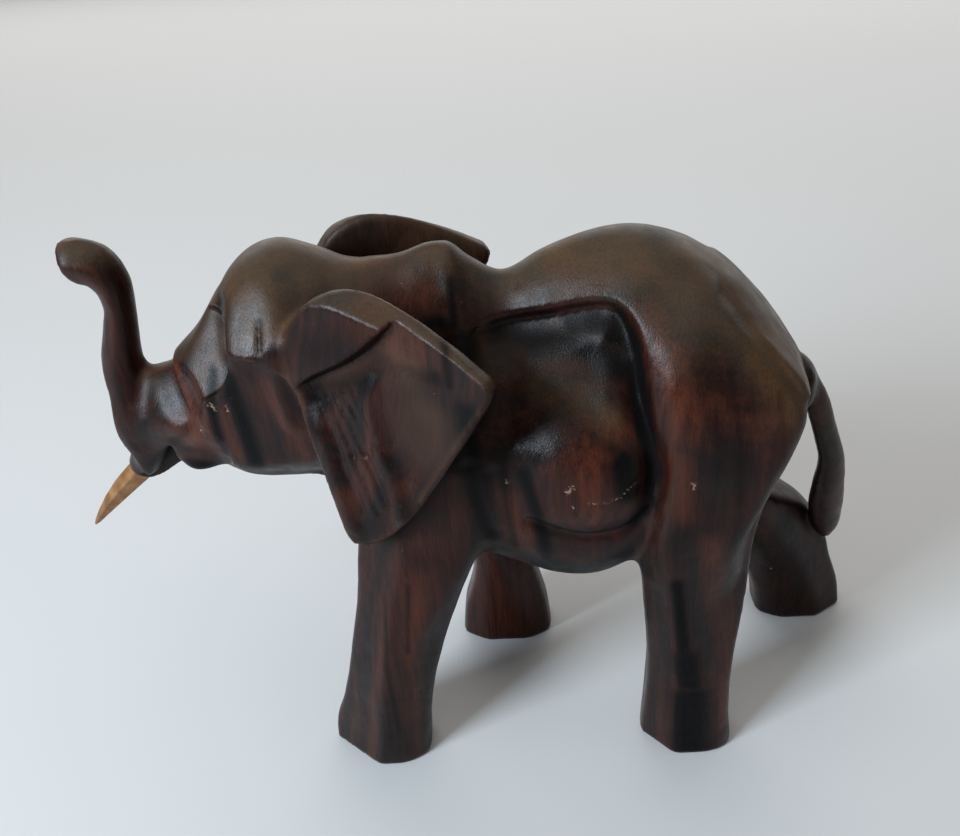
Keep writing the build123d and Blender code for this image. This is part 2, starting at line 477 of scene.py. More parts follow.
HALF_WIDTH = 38.0  # more than the figure's half width
SKIN_STEP = 0.1


def skin(carving, x, z, side):
    """The outermost point of the wood on that side of the middle plane."""
    reach = np.arange(HALF_WIDTH, 0.0, -SKIN_STEP)
    points = np.stack([np.full_like(reach, x), side * reach, np.full_like(reach, z)], axis=1)
    return points[np.argmax(carving.read(points) < 0)]


def facet(carving, x, z, normal, depth, reach=12.0, blend=0.8):
    """A flat cut on both sides, as deep as said below the skin at a point of the side view."""
    for side in (LEFT, RIGHT):
        away = np.array([normal[0], side * normal[1], normal[2]]) / np.linalg.norm(normal)
        point = skin(carving, x, z, side) - away * depth

        def shape(x, y, z, point=point, away=away):
            dx, dy, dz = x - point[0], y - point[1], z - point[2]
            above = dx * away[0] + dy * away[1] + dz * away[2]
            past = np.maximum(np.sqrt(dx * dx + dy * dy + dz * dz) - reach, 0)
            return -(above - 2 * past).astype(np.float32)

        carving.cut(point - 2 * reach, point + 2 * reach, shape, blend)


# -------- the elephant's masses
# The head's and the barrel's sections are for ring_body, the legs' for pillar, and the rest for tube.

HEAD_SECTIONS = [
    (-98, 80, 95, 4, 6, 4),
    (-92, 80, 100.5, 6, 8.8, 5.5),
    (-86, 78.5, 104.8, 8, 11.4, 7.6),
    (-79.5, 76, 111, 9.5, 13.6, 10.2),
    (-73.5, 72.8, 119, 11.2, 15.2, 12.6),
    (-68, 71.8, 124.8, 12, 16.4, 14.4),
    (-62, 71.8, 127, 12.6, 17.2, 15.2),
    (-54, 72.2, 125.3, 13.4, 18.2, 13.5),
    (-44, 73, 120, 14, 19, 11),
]
BARREL_SECTIONS = [
    (-60, 80, 112, 8, 11, 8),
    (-52, 68, 117.5, 12, 16.5, 10),
    (-44, 59, 121.2, 15.5, 21, 11),
    (-36, 53.5, 122.8, 18, 24, 10),
    (-28, 50.5, 124.6, 18.5, 25, 8.5),
    (-22, 49, 121.2, 18, 24.8, 9.5),
    (-16, 47, 117.6, 19, 24.6, 11),
    (-7, 43.5, 121.4, 20.5, 24.6, 13),
    (2, 42.5, 124.4, 20.5, 24.4, 15),
    (12, 47, 125, 19, 24, 17.5),
    (24, 57, 120.4, 16, 24.5, 18),
    (35, 68, 111, 14, 22, 16.5),
    (43, 75, 100, 10, 15.5, 11.5),
    (46.8, 80, 93, 4.5, 6.5, 5),
]
TRUNK_SECTIONS = [
    (-101.2, 2.6, 75.5, 4, 5),
    (-99.7, 1.2, 82, 5.6, 6),
    (-99.2, 0.6, 88.5, 6.2, 6.4),
    (-99.3, 0.5, 95, 5.6, 5.8),
    (-98.7, 0.6, 103, 4.4, 4.9),
    (-97.2, 0.7, 109.5, 3.7, 4.4),
    (-95.9, 0.8, 115.5, 3.3, 4.2),
    (-96.4, 0.9, 121, 4.1, 4.5),
    (-99, 1, 124.6, 4.9, 5),
    (-102, 1, 125.6, 4.9, 5),
]
LIP_SECTIONS = [
    (-88, 0.9, 87.6, 8.4, 8.6),
    (-96, 2.9, 79.6, 6.4, 6.4),
    (-102.8, 4.6, 72.6, 3.8, 3.9),
]
TAIL_SECTIONS = [
    (36, -0.5, 102.5, 2.6, 2.6),
    (43.8, 0, 93.8, 2.6, 2.6),
    (48, 0.5, 88.4, 2.6, 2.6),
    (51.6, 1.4, 82, 2.7, 2.6),
    (55.4, 3.8, 72, 2.7, 2.6),
    (59.2, 7, 61, 3, 2.8),
    (60.8, 10.8, 50, 3.8, 3.2),
    (62.4, 15, 40, 4.2, 3.2),
    (64.2, 18.2, 31.5, 3.2, 2.6),
    (65.2, 19.6, 27.5, 1.7, 1.7),
]
STANCE = 20.0  # the feet's middles stand about this far from the middle plane
LEFT_FORE = [
    (0, -65, -40.8, -STANCE, 16.5),
    (5, -64.6, -40.4, -STANCE, 16.5),
    (17, -60.6, -38.8, -STANCE, 15.6),
    (34, -56.2, -34.6, -STANCE + 0.5, 16.3),
    (50, -52.6, -29, -STANCE + 1.5, 18),
    (64, -50.5, -23.5, -STANCE + 3.5, 21),
    (84, -46, -22, -STANCE + 7, 20),
]
RIGHT_FORE = [
    (0, -33.6, -8.8, STANCE, 16.5),
    (8, -32.6, -9.6, STANCE, 16),
    (20, -29.5, -12, STANCE - 0.5, 15.5),
    (34, -29, -14.5, STANCE - 1.5, 16.5),
    (50, -36, -18, STANCE - 3, 19),
    (64, -44, -21, STANCE - 5, 21),
    (84, -46, -22, STANCE - 7, 20),
]
LEFT_HIND = [
    (0, 11.6, 33.2, -STANCE, 16.5),
    (9, 12.2, 32.4, -STANCE, 16),
    (26, 13, 32.4, -STANCE + 0.5, 16.3),
    (44, 12, 34.4, -STANCE + 1.5, 18.5),
    (62, 11, 36.2, -STANCE + 3.5, 21.5),
    (78, 12, 41, -STANCE + 6, 22),
    (94, 14, 42, -STANCE + 8.5, 20),
]
RIGHT_HIND = [
    (0, 48.5, 72.2, STANCE + 3.5, 16.5),
    (8, 47.4, 70.9, STANCE + 3.5, 16),
    (18, 44, 67.6, STANCE + 3, 16),
    (28, 38.5, 64.5, STANCE + 2, 17),
    (37, 31.5, 58.5, STANCE + 1, 18),
    (47, 24, 46.5, STANCE - 0.5, 19.5),
    (62, 17, 38.5, STANCE - 3, 22),
    (78, 14, 41.5, STANCE - 6, 22),
    (94, 14, 42, STANCE - 8.5, 20),
]


def haunch_shape(side, outline, widths):
    """The thigh's mass: flat-sided, with a rounded rim along its outline, and rounder towards the rump.

    widths holds (z, half width).
    """
    curve = smooth_outline(outline)
    table = np.array(widths, float)

    def shape(x, y, z):
        rounding = 0.007 * np.maximum(np.abs(y) - 10.0, 0) ** 2 * ramp(x, 26.0, 38.0)
        rim = outline_distance(x, z, curve) + rounding
        half = flow(table[:, 0], table[:, 1], z.ravel()).reshape(1, 1, -1)
        out = side * y - half
        return smooth_max(smooth_max(rim, out, 5.0), -side * y, 1.0).astype(np.float32)

    return shape


HAUNCH_OUTLINE = [
    (3, 120), (8, 117.5), (12, 109), (13.6, 100), (14.9, 91), (15.2, 82), (14.4, 72),
    (13.2, 63), (15, 50), (29.5, 50), (33, 64), (38.4, 76.5), (42.8, 88.5), (43.8, 97),
    (37.5, 105), (28, 114), (16, 121),
]
HAUNCH_WIDTHS = [
    (50, 24), (60, 26.8), (66, 27.8), (76, 28), (88, 27.6), (98, 25.6), (108, 21), (116, 13.5),
    (123, 5),
]

EAR_OUTLINE = [
    (-57.3, 112), (-54.2, 118.4), (-50, 122.9), (-44.5, 124.9), (-39.5, 124.6), (-33.4, 122.3),
    (-26.4, 118.4), (-20.4, 114.3), (-17, 110.9), (-20, 105), (-28.2, 91.5), (-33.8, 82.5),
    (-37.5, 77.6), (-42.8, 72.4), (-48.6, 70.8), (-50.6, 76.5), (-52.8, 86), (-55.4, 96.5),
]
EAR_TOP = (-44.5, 20.0, 124.6)
EAR_THICKNESS = 4.8
EAR_FACE_EDGE = [
    (-58, 108), (-56, 116), (-52, 120.8), (-47, 122.4), (-41, 121.2), (-34, 119),
    (-27, 116), (-21, 113), (-16, 110.4),
]
EAR_STEP = [
    (-37.6, 117.6), (-40.2, 115), (-44.4, 111.6), (-47.3, 109.7), (-50.6, 107.8), (-54, 105.4),
    (-57.5, 102.4),
]
EAR_BOWL = (-31.5, 98.0)
EAR_RIM_HOLLOW = (-33.0, 112.5)
EAR_BOWL_EDGE = [(-40.9, 108.6), (-41.3, 102.3), (-40.5, 94.0), (-38.4, 88.1), (-37.0, 79.8)]
EAR_FRONT_RIDGE = [(-53.2, 100.5), (-51.8, 93.5), (-50.4, 86.5), (-49.0, 80.0), (-47.6, 75.0)]
EAR_GOUGES = [
    [(-52, 102), (-50.2, 96.5), (-48.4, 90.5)],
    [(-50.2, 103.2), (-48, 97.5), (-45.8, 91.5)],
    [(-48.4, 104), (-46, 98.5), (-43.6, 92)],
    [(-46.4, 104.6), (-44.2, 99.2), (-42, 93)],
    [(-44.4, 105.4), (-42.8, 100), (-41.2, 95.5)],
    [(-49, 90), (-47, 84.5), (-45.2, 79)],
    [(-46.2, 91.5), (-44, 85.5), (-42.2, 80)],
    [(-43.6, 92.5), (-41.6, 87), (-40, 82)],
]


def ear_relief(x, z):
    """Height of the ear's outer face above a flat plate: a raised lobe, a bowl and the gouge marks."""
    _, signed = path_distance(x, z, smooth_outline(EAR_STEP, closed=False))
    under = ramp(signed, -0.6, 0.6)
    depth = np.maximum(signed, 0)
    off_front = ramp(x + 0.27 * (z - 104.0), -57.6, -53.0)
    height = 0.5 * (1 - under) - under * off_front * (0.6 + 2.2 * np.exp(-depth / 6.5))
    height = height - 1.9 * under * soft_spot(x, z, EAR_BOWL, (8.5, 12.0))
    height = height - 0.8 * soft_spot(x, z, EAR_RIM_HOLLOW, (4.5, 2.6))
    for ridge, width in ((EAR_BOWL_EDGE, 1.8), (EAR_FRONT_RIDGE, 1.7)):
        line = soft_line(x, z, smooth_outline(ridge, closed=False), width)
        height = height + 0.9 * ramp(depth, 2.0, 9.0) * line
    for mark in EAR_GOUGES:
        height = height - 0.45 * soft_line(x, z, mark, 0.7)
    _, above = path_distance(x, z, smooth_outline(EAR_FACE_EDGE, closed=False))
    return np.minimum(height, 0.6 - 1.1 * np.clip(above, 0, 3.2))


def ear_shape(side, flare, lean, shift):
    """A fan-shaped plate that stands away from the body.

    flare is how much it swings out towards the tail, and lean how much towards its lower tip. shift moves it
    along x and z.
    """
    top_x, top_y, top_z = EAR_TOP
    stretch_x, stretch_z = np.sqrt(1 + flare * flare), np.sqrt(1 + lean * lean)
    size = np.sqrt(1 + flare * flare + lean * lean)
    outline = smooth_outline(EAR_OUTLINE, per_side=2) * np.array([stretch_x, stretch_z])

    def shape(x, y, z):
        x, z = x - shift[0], z - shift[1]
        out = (side * y - top_y - flare * (x - top_x) - lean * (top_z - z)) / size
        px = x + out * flare / size
        pz = z - out * lean / size
        rim = outline_distance(px * stretch_x, pz * stretch_z, outline)
        face = out - EAR_THICKNESS / 2 - ear_relief(px, pz)
        back = -EAR_THICKNESS / 2 - out
        plate = smooth_max(smooth_max(rim, face, 0.9), back, 1.6)
        return plate.astype(np.float32)

    return shape


LEFT_EAR = (LEFT, 0.50, 0.15, (0.0, 0.0))
RIGHT_EAR = (RIGHT, 0.25, 0.10, (-1.5, -0.6))

# Each flat holds its direction (x, y) and points (z, x, y) on it.
LEFT_FORE_FLATS = [
    (
        (-0.62, -0.78),
        [(0, -54.2, -27.6), (8, -52.8, -27.3), (22, -50.9, -26.9), (39, -47.8, -26.9), (54, -44, -27.2),
         (69, -38.2, -27.8), (84, -34, -26)],
    ),
    (
        (0.50, -0.87),
        [(0, -46.5, -28.2), (20, -44.5, -27.6), (40, -39.5, -27.2), (60, -31, -28.2), (84, -28, -25)],
    ),
]
RIGHT_FORE_FLATS = [
    ((0.50, -0.87), [(0, -15.5, 11.6), (20, -18, 11.8), (40, -22, 10.8), (84, -28, 3)]),
    ((-0.50, -0.87), [(0, -26.5, 11.6), (20, -25, 11.8), (40, -26, 10.8), (84, -38, 3)]),
]
LEFT_HIND_FLATS = [
    (
        (-0.72, -0.69),
        [(0, 18.2, -27.8), (12, 18.2, -27.6), (25, 18.2, -27.4), (44, 17.6, -27.5), (62, 16.8, -27.4),
         (94, 17, -24)],
    ),
    (
        (0.42, -0.91),
        [(0, 29, -28), (6, 28.6, -27.8), (22, 26, -27.5), (38, 22.6, -27.3), (54, 19, -27.4),
         (94, 20, -24)],
    ),
]
RIGHT_HIND_FLATS = [
    (
        (-0.45, -0.89),
        [(0, 55, 15), (18, 50, 15), (37, 40, 12), (62, 24, 6), (94, 20, 2)],
    ),
    (
        (0.55, -0.84),
        [(0, 64.5, 15.4), (18, 60, 15.2), (37, 50, 12.6), (62, 32, 6), (94, 34, 2)],
    ),
]


def add_torso(carving):
    carving.join((-112, -32, 56), (-28, 32, 134), ring_body(HEAD_SECTIONS, 6.0, 10.0), 1.0)
    carving.join((-76, -36, 34), (66, 36, 134), ring_body(BARREL_SECTIONS, 8.0, 4.0), 5.0)
    for side in (LEFT, RIGHT):
        belly = ball((-2.0, side * 8.5, 80.0), (20.0, 19.8, 20.5))
        carving.join((-34, -36, 46), (32, 36, 114), belly, 2.5)
        haunch = haunch_shape(side, HAUNCH_OUTLINE, HAUNCH_WIDTHS)
        carving.join((-12, -36, 40), (60, 36, 134), haunch, 1.8)


def add_legs(carving):
    carving.join((-84, -36, -3), (-12, 4, 96), pillar(LEFT_FORE, LEFT_FORE_FLATS), 5.0)
    carving.join((-62, -4, -3), (4, 36, 96), pillar(RIGHT_FORE, RIGHT_FORE_FLATS), 5.0)
    carving.join((-2, -36, -3), (60, 4, 106), pillar(LEFT_HIND, LEFT_HIND_FLATS), 4.0)
    carving.join((-2, -4, -3), (78, 36, 106), pillar(RIGHT_HIND, RIGHT_HIND_FLATS), 4.0)


def trunk_shape(x, y, z):
    """The trunk, with the flats along its front, at its tip and under its tip."""
    field = tube(TRUNK_SECTIONS, power=1.7)(x, y, z)
    tip = -0.955 * (x + 104.4) - 0.30 * (z - 126.6)
    root = -0.98 * (x + 105.3) - 0.10 * (z - 125.0)
    field = smooth_max(field, np.where(z > 118.0, tip, root), 0.6)
    under = np.where((x < -99.8) & (z > 113.0), 120.7 - z, -FAR)
    return smooth_max(field, under, 0.6).astype(np.float32)


def add_limbs(carving):
    """The trunk, the tail and the ears."""
    carving.join((-112, -16, 70), (-74, 16, 134), trunk_shape, 4.0)
    carving.join((26, -14, 12), (78, 32, 114), tube(TAIL_SECTIONS), 1.5)
    carving.join((-72, -43, 56), (-4, 0, 134), ear_shape(*LEFT_EAR), 2.5)
    carving.join((-72, 0, 56), (-4, 36, 134), ear_shape(*RIGHT_EAR), 2.5)


# -------- the knife's work


def carve_head(carving):
    """The knife's flats and creases on the head, the same on both sides."""
    # Flats: the temple, the forehead, the cheek, the snout's top and side, and the jaw.
    facet(carving, -65.4, 118.6, (-0.24, 0.79, 0.56), 0.8, reach=8.0)
    facet(carving, -80.0, 107.4, (-0.27, 0.79, 0.55), 0.9, reach=10.0, blend=1.2)
    facet(carving, -69.0, 94.0, (-0.14, 0.98, -0.10), 0.9, reach=16.0)
    facet(carving, -89.5, 93.5, (-0.44, 0.78, 0.44), 0.4, blend=1.4)
    facet(carving, -88.0, 86.5, (-0.25, 0.85, -0.45), 0.7)
    facet(carving, -68.0, 80.0, (0.0, 0.72, -0.69), 0.4)
    # The valley between the forehead and the temple, and the step down under the brow.
    groove(carving, [(-71.8, 117.5), (-72.4, 113.0), (-72.0, 108.0)], 1.8, 0.7)
    ledge(carving, [(-87.4, 105.4), (-84.9, 99.8), (-82.6, 95.8), (-80.6, 93.0)], 1.5, 0.7, 5)
    # The eye slit, and the fold in front of the ear.
    groove(carving, [(-62.5, 117.2), (-63.0, 111.6)], 0.3, 0.6, sharp=True)
    groove(carving, [(-59.6, 114.0), (-60.6, 108.0), (-61.0, 100.0), (-60.5, 94.0)], 1.8, -0.5)
    # The corner of the mouth and the edge of the upper lip.
    groove(carving, [(-82.0, 91.6), (-84.4, 89.0), (-88.5, 86.4)], 1.2, 0.6)


MOUTH_OUTLINE = [(-90.6, 84.4), (-97.6, 77.6), (-103.0, 71.0), (-101.0, 62.0), (-88.0, 62.0), (-91.4, 78.0)]


def mouth_gap(x, y, z):
    """The open wedge between the upper lip and the lower lip."""
    return (outline_distance(x, z, np.array(MOUTH_OUTLINE)) + 0 * y).astype(np.float32)


def carve_mouth(carving):
    """The upper lip round the tusk's root, the lower lip, and the gap between them."""
    carving.join((-112, -18, 62), (-70, 22, 102), tube(LIP_SECTIONS), 2.0)
    carving.join((-98, -16, 66), (-76, 16, 90), ball((-85.2, 0.0, 79.4), (5.4, 8.6, 3.4)), 3.2)
    carving.cut((-106, -14, 60), (-84, 1, 92), mouth_gap, 1.0)


FLANK_RIM = [
    (-20, 109.5), (-12, 111), (-4.2, 113), (2.4, 114.6), (6.6, 114.4), (9, 112),
    (10.4, 108), (11.2, 103), (12, 95),
]
HAUNCH_RIM = [(10.8, 102.0), (12.2, 95.0), (13.8, 88.0), (14.8, 81.0), (13.8, 75.5)]


def carve_body(carving):
    """The creases, hollows and ridges of the flank, the shoulder and the rump, the same on both sides."""
    # The flank's hollow, which undercuts the back and the haunch, and the crease round the belly's bulge.
    ledge(carving, FLANK_RIM, 2.4, 3.4, 5.0, ends=8.0)
    ledge(carving, HAUNCH_RIM, 1.9, 2.6, 4.2)
    dabs(carving, (-7.0, 17.0, 107.0), (12.0, 9.0, 5.6), 2.0)
    dabs(carving, (4.0, 20.0, 105.0), (7.5, 9.0, 6.5), 2.0)
    groove(carving, [(-12.5, 72.0), (-4.3, 68.4), (1.9, 67.4), (8.2, 68.4), (12.6, 72.5)], 1.4, 1.0)
    # Creases behind the foreleg.
    groove(carving, [(-24.0, 86.0), (-23.0, 78.0), (-20.8, 69.0)], 1.8, 0.8)
    groove(carving, [(-19.5, 84.0), (-18.2, 74.0), (-17.0, 66.0)], 1.6, 0.6)
    # The shoulder's ridge, and the hollows of the neck and of the saddle beside it.
    groove(carving, [(-25.4, 124.0), (-25.2, 117.0), (-24.6, 108.0), (-23.6, 98.0)], 2.4, -0.8)
    dabs(carving, (-35.0, 19.0, 117.5), (7.0, 7.0, 6.0), 1.2)
    dabs(carving, (-18.5, 17.0, 117.5), (4.5, 8.0, 6.0), 1.0)
    # The ridge along the spine into the tail, with the groove beside it, and the swell of the haunch.
    groove(carving, [(29.0, 116.0), (36.0, 108.0), (43.0, 98.6), (48.6, 90.0)], 1.5, -0.5)
    groove(carving, [(27.0, 115.0), (35.0, 105.5), (42.6, 95.0), (47.0, 87.0)], 1.1, 0.5)
    groove(carving, [(22.0, 112.0), (19.0, 104.0), (21.0, 96.0), (24.0, 84.0)], 5.0, -0.8)


def build_carving():
    """The whole animal, with its soles cut level."""
    carving = Carving()
    add_torso(carving)
    add_legs(carving)
    carve_head(carving)
    carve_body(carving)
    carve_mouth(carving)
    add_limbs(carving)
    slices, (x, y, z) = carving.window(GRID_LOW, GRID_HIGH)
    carving.field = smooth_max(carving.field, (0.0 - z) + 0 * x + 0 * y, 0.6).astype(np.float32)
    return carving


def vertex_normals(mesh):
    normals = np.empty(len(mesh.vertices) * 3, np.float32)
    mesh.vertices.foreach_get("normal", normals)
    return normals.reshape(-1, 3).astype(float)


def mesh_piece(name, points, faces, node):
    """A smooth surface through points of the design frame. It stands for the CAD node."""
    mesh = bpy.data.meshes.new(name)
    mesh.from_pydata((points * SCALE + np.array(ORIGIN)).tolist(), [], faces)
    mesh.validate()
    mesh.shade_smooth()
    piece = bpy.data.objects.new(name, mesh)
    bpy.context.collection.objects.link(piece)
    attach(piece, "root")
    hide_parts(node)
    return piece


# -------- colour laid on in listed strokes
# Each stroke holds its side, width, strength and path in the side view.

# Black veins and dark streaks in the wood, and painted shade: in the flank's hollow under its rim, under the
# ear's raised lobe and rim, in the mouth, under the lower lip, along the jaw, and under the belly and its
# crease.
VEIN_AND_SHADE_STROKES = [
    (BOTH, 2.8, 1, [(-2, 110), (3, 111), (7, 109)]),
    (BOTH, 3.8, 0.8, [(-17, 107), (-8, 107.4), (0, 107), (6, 104)]),
    (BOTH, 2.4, 1, [(6.6, 112), (9, 108), (9.8, 102), (10.6, 95), (12, 88), (13, 81),
                      (11.8, 74), (8.6, 69.6)]),
    (LEFT, 3.1, 1, [(6.4, 86), (7.6, 79)]),
    (BOTH, 1.9, 0.9, [(-13, 84), (-11.2, 76), (-10, 67), (-9.2, 57)]),
    (BOTH, 5, 1, [(-9, 57), (0, 53), (8, 56)]),
    (BOTH, 2, 0.6, [(-7, 71), (1.9, 69.6), (9, 71)]),
    (LEFT, 1.1, 0.75, [(-25.6, 119), (-25.4, 111)]),
    (LEFT, 3.4, 0.8, [(-22.6, 106), (-22, 95)]),
    (BOTH, 2.2, 0.8, [(-23.5, 92), (-22.5, 78), (-20.5, 66)]),
    (BOTH, 1.4, 0.6, [(-17.5, 84), (-17, 74), (-16, 64)]),
    (BOTH, 1.4, 1, [(-75.6, 104), (-76.8, 96), (-77, 84)]),
    (BOTH, 2.4, 1, [(-71.4, 106), (-70.6, 96), (-70.4, 80)]),
    (BOTH, 1.8, 0.7, [(-71.8, 119), (-72.4, 112)]),
    (BOTH, 0.45, 0.9, [(-62.5, 117.2), (-63, 111.6)]),
    (BOTH, 3.6, 1, [(-87.5, 78.6), (-83, 76.8)]),
    (BOTH, 2.2, 1, [(-91, 82), (-96.5, 77)]),
    (BOTH, 3.4, 1, [(-80, 76), (-56, 75)]),
    (BOTH, 2.4, 0.6, [(-54.6, 104), (-54, 96)]),
    (BOTH, 3.4, 0.9, [(-39, 112.4), (-43.5, 108.4), (-48, 105.4), (-53, 102)]),
    (BOTH, 2.2, 0.7, [(-28, 111.6), (-36, 111)]),
    (LEFT, 1.8, 1, [(17.8, 55), (19.2, 42), (20.4, 32)]),
    (LEFT, 3.6, 1, [(20.8, 32), (21.8, 24)]),
    (LEFT, 5.6, 1, [(22, 19), (22.6, 2)]),
    (BOTH, 7, 0.54, [(-51, 113), (-40, 117)]),
    (BOTH, 8, 0.54, [(-33, 106), (-31, 94)]),
    (BOTH, 5, 0.52, [(-38, 84), (-43, 76)]),
    (BOTH, 1, 0.5, [(-45, 54), (-47.5, 34), (-47, 12)]),
    (BOTH, 0.9, 0.5, [(-39.5, 58), (-42, 38)]),
    (BOTH, 1.2, 0.5, [(27, 104), (29, 90), (29.5, 76)]),
    (BOTH, 1, 0.4, [(36, 100), (37.5, 86)]),
    (BOTH, 1.4, 0.4, [(-33, 118), (-32.5, 108)]),
]
WARM_STROKES = [
    (BOTH, 3.4, 0.8, [(13.6, 112), (15.8, 103.8), (18.8, 93)]),
    (BOTH, 2.6, 0.6, [(17.6, 88), (18.4, 74)]),
    (BOTH, 2.6, 0.7, [(24.5, 66), (26, 52), (30, 36), (31, 20)]),
    (LEFT, 1.5, 1, [(29.4, 24), (30.6, 8)]),
    (BOTH, 4.4, 0.9, [(-0.5, 88), (0.6, 74)]),
    (BOTH, 2.6, 0.7, [(3, 94), (8.5, 92)]),
    (BOTH, 2.6, 0.6, [(-17, 78), (-14, 68)]),
    (BOTH, 3, 0.9, [(-80.8, 93), (-83, 85.5)]),
    (BOTH, 1.6, 0.6, [(-73.6, 97), (-73.6, 85)]),
    (BOTH, 1.8, 0.6, [(-63.5, 104), (-61.5, 92), (-59.5, 82)]),
    (BOTH, 1.1, 0.9, [(-85.8, 104), (-81.4, 96)]),
    (BOTH, 2.2, 0.5, [(-36, 60), (-41, 40), (-44, 16)]),
    (RIGHT, 9, 0.5, [(-20, 28), (-20, 8)]),
    (BOTH, 4.6, 0.9, [(-39.5, 118), (-33, 116)]),
    (BOTH, 2.6, 0.6, [(57, 82), (62, 66), (65, 40)]),
]
# Dust mixed with a painted sheen of light from above: the back, the rump, the belly's bulge, the trunk's tip,
# the ear and the far ear.
DUST_AND_SHEEN_STROKES = [
    (RIGHT, 12, 1, [(-50, 120), (-38, 120), (-26, 118)]),
    (BOTH, 5, 0.9, [(4, 121), (14, 119), (21, 114)]),
    (BOTH, 3.2, 0.8, [(-9, 99.8), (-1, 98.6), (4, 95.4)]),
    (BOTH, 5.5, 1, [(22, 121), (31, 112), (41, 98.5)]),
    (BOTH, 2.4, 0.8, [(-102, 129.8), (-95, 127.6)]),
    (BOTH, 3, 0.5, [(-34, 110), (-30, 104)]),
]
CHIPS = [
    (LEFT, 0.5, 1, [(-16.6, 82), (-16.5, 82.1)]),
    (LEFT, 0.6, 0.9, [(-5, 81.4), (-3.6, 82.8)]),
    (LEFT, 0.5, 0.7, [(-3.9, 78.4), (-3.5, 76.9)]),
    (LEFT, 0.45, 0.7, [(-1, 78.6), (2.7, 77.8), (6, 78.4), (9.4, 81)]),
    (LEFT, 0.7, 0.8, [(20.1, 82.4), (20.3, 80.8)]),
    (LEFT, 0.45, 0.9, [(-77.4, 98.2), (-76.2, 98.6), (-76, 96.8)]),
    (LEFT, 0.35, 0.8, [(-73.1, 98.6), (-73.2, 96.8)]),
    (LEFT, 0.3, 0.7, [(-81, 92), (-80.6, 89.6)]),
    (LEFT, 0.5, 0.7, [(-22.3, 99.2), (-21.5, 100)]),
    (RIGHT, 0.6, 0.8, [(50.3, 19), (50.6, 18.8)]),
]


SIDE_BLEND = 3.0  # a stroke on one side fades over this much beside the middle plane


def painted(points, strokes):
    """How strongly the strokes cover each point, from 0 to 1."""
    x, y, z = points.T
    cover = np.zeros(len(points))
    for side, width, strength, path in strokes:
        on_side = 1.0 if side == BOTH else np.clip(y * side / SIDE_BLEND, 0, 1)
        cover = np.maximum(cover, strength * soft_line(x, z, path, width) * on_side)
    return cover


def waves(points, length, count, seed):
    """Smooth uneven waves of about the given length, mostly between -1 and 1, the same in each run."""
    draw = np.random.default_rng(seed)
    total = np.zeros(len(points))
    for _ in range(count):
        way = draw.normal(size=3)
        way = way / np.linalg.norm(way) * 2 * pi / (length * draw.uniform(0.75, 1.4))
        total += np.sin(points @ way + draw.uniform(0, 2 * pi))
    return total / np.sqrt(count) / 1.6


def store(mesh, name, values):
    """Keeps one value from 0 to 1 for each vertex, which a material reads by its name."""
    layer = mesh.attributes.new(name, "FLOAT", "POINT")
    layer.data.foreach_set("value", np.clip(values, 0, 1).astype(np.float32))


OPEN_AIR_PROBES = (1.5, 3.0, 6.0)  # how far off the surface the room around it is felt
EDGE_PROBE = 1.4  # how far under the surface a thin edge is felt
TOOL_MARKS = [(0.06, 8.0, 5), (0.02, 3.0, 6)]  # height, length and seed of each set of waves
WAVES_IN_A_SET = 24
CHIP_DEPTH = 0.25
SOLE_HEIGHT = 0.3  # below this the surface is left flat


def make_body():
    """The carved animal, with the places where its colour changes stored on its vertices."""
    carving = build_carving()
    points, faces = carving.surface()
    mesh = mesh_piece("carved_elephant", points, faces, "carved_body").data
    normals = vertex_normals(mesh)
    room = [np.clip(carving.read(points + normals * probe) / probe, 0, 1) for probe in OPEN_AIR_PROBES]
    open_air = sum(room) / len(room)
    edge = np.clip(1 + carving.read(points - normals * EDGE_PROBE) / EDGE_PROBE, 0, 1)
    chips = painted(points, CHIPS)
    marks = sum(height * waves(points, length, WAVES_IN_A_SET, seed) for height, length, seed in TOOL_MARKS)
    relief = (marks - CHIP_DEPTH * chips) * (points[:, 2] > SOLE_HEIGHT)
    moved = (points + normals * relief[:, None]) * SCALE + np.array(ORIGIN)
    moved = np.clip(moved, CAD_BOX[0], CAD_BOX[1])
    mesh.vertices.foreach_set("co", moved.astype(np.float32).ravel())
    mesh.update()
    up = normals[:, 2]
    # Dust and a painted sheen on upward faces high on the body, and along the listed strokes.
    dust_and_sheen = np.maximum(ramp(up, 0.25, 0.85) * ramp(points[:, 2], 88.0, 116.0), painted(points, DUST_AND_SHEEN_STROKES))
    # Painted shade: darker where little open air is around a point and on faces turned down, less of it under
    # the dust and sheen.
    store(mesh, "shade", (1 - open_air + 0.45 * ramp(-up, 0.05, 0.75)) * (1 - 0.8 * dust_and_sheen))
    store(mesh, "edge", edge * 2.0)
    store(mesh, "dust_and_sheen", dust_and_sheen)
    store(mesh, "dark", painted(points, VEIN_AND_SHADE_STROKES))
    store(mesh, "warm", painted(points, WARM_STROKES))
    store(mesh, "chip", chips)
    mesh.materials.append(wood_material())


TUSK_ROOT, TUSK_TIP = (-104.4, 5.0, 70.5), (-123.6, 9.8, 50.4)
TUSK_PROFILE = [(-0.12, 3.3), (0.05, 3.3), (0.30, 3.0), (0.55, 2.35), (0.78, 1.5), (0.93, 0.85), (0.995, 0.3)]
TUSK_UNEVEN = [1.0, 0.94, 1.04, 0.92, 1.0, 0.96]  # each corner's reach, as a share of the radius
TUSK_BEND, TUSK_TWIST, TUSK_BEVEL = 0.6, 0.12, 0.22


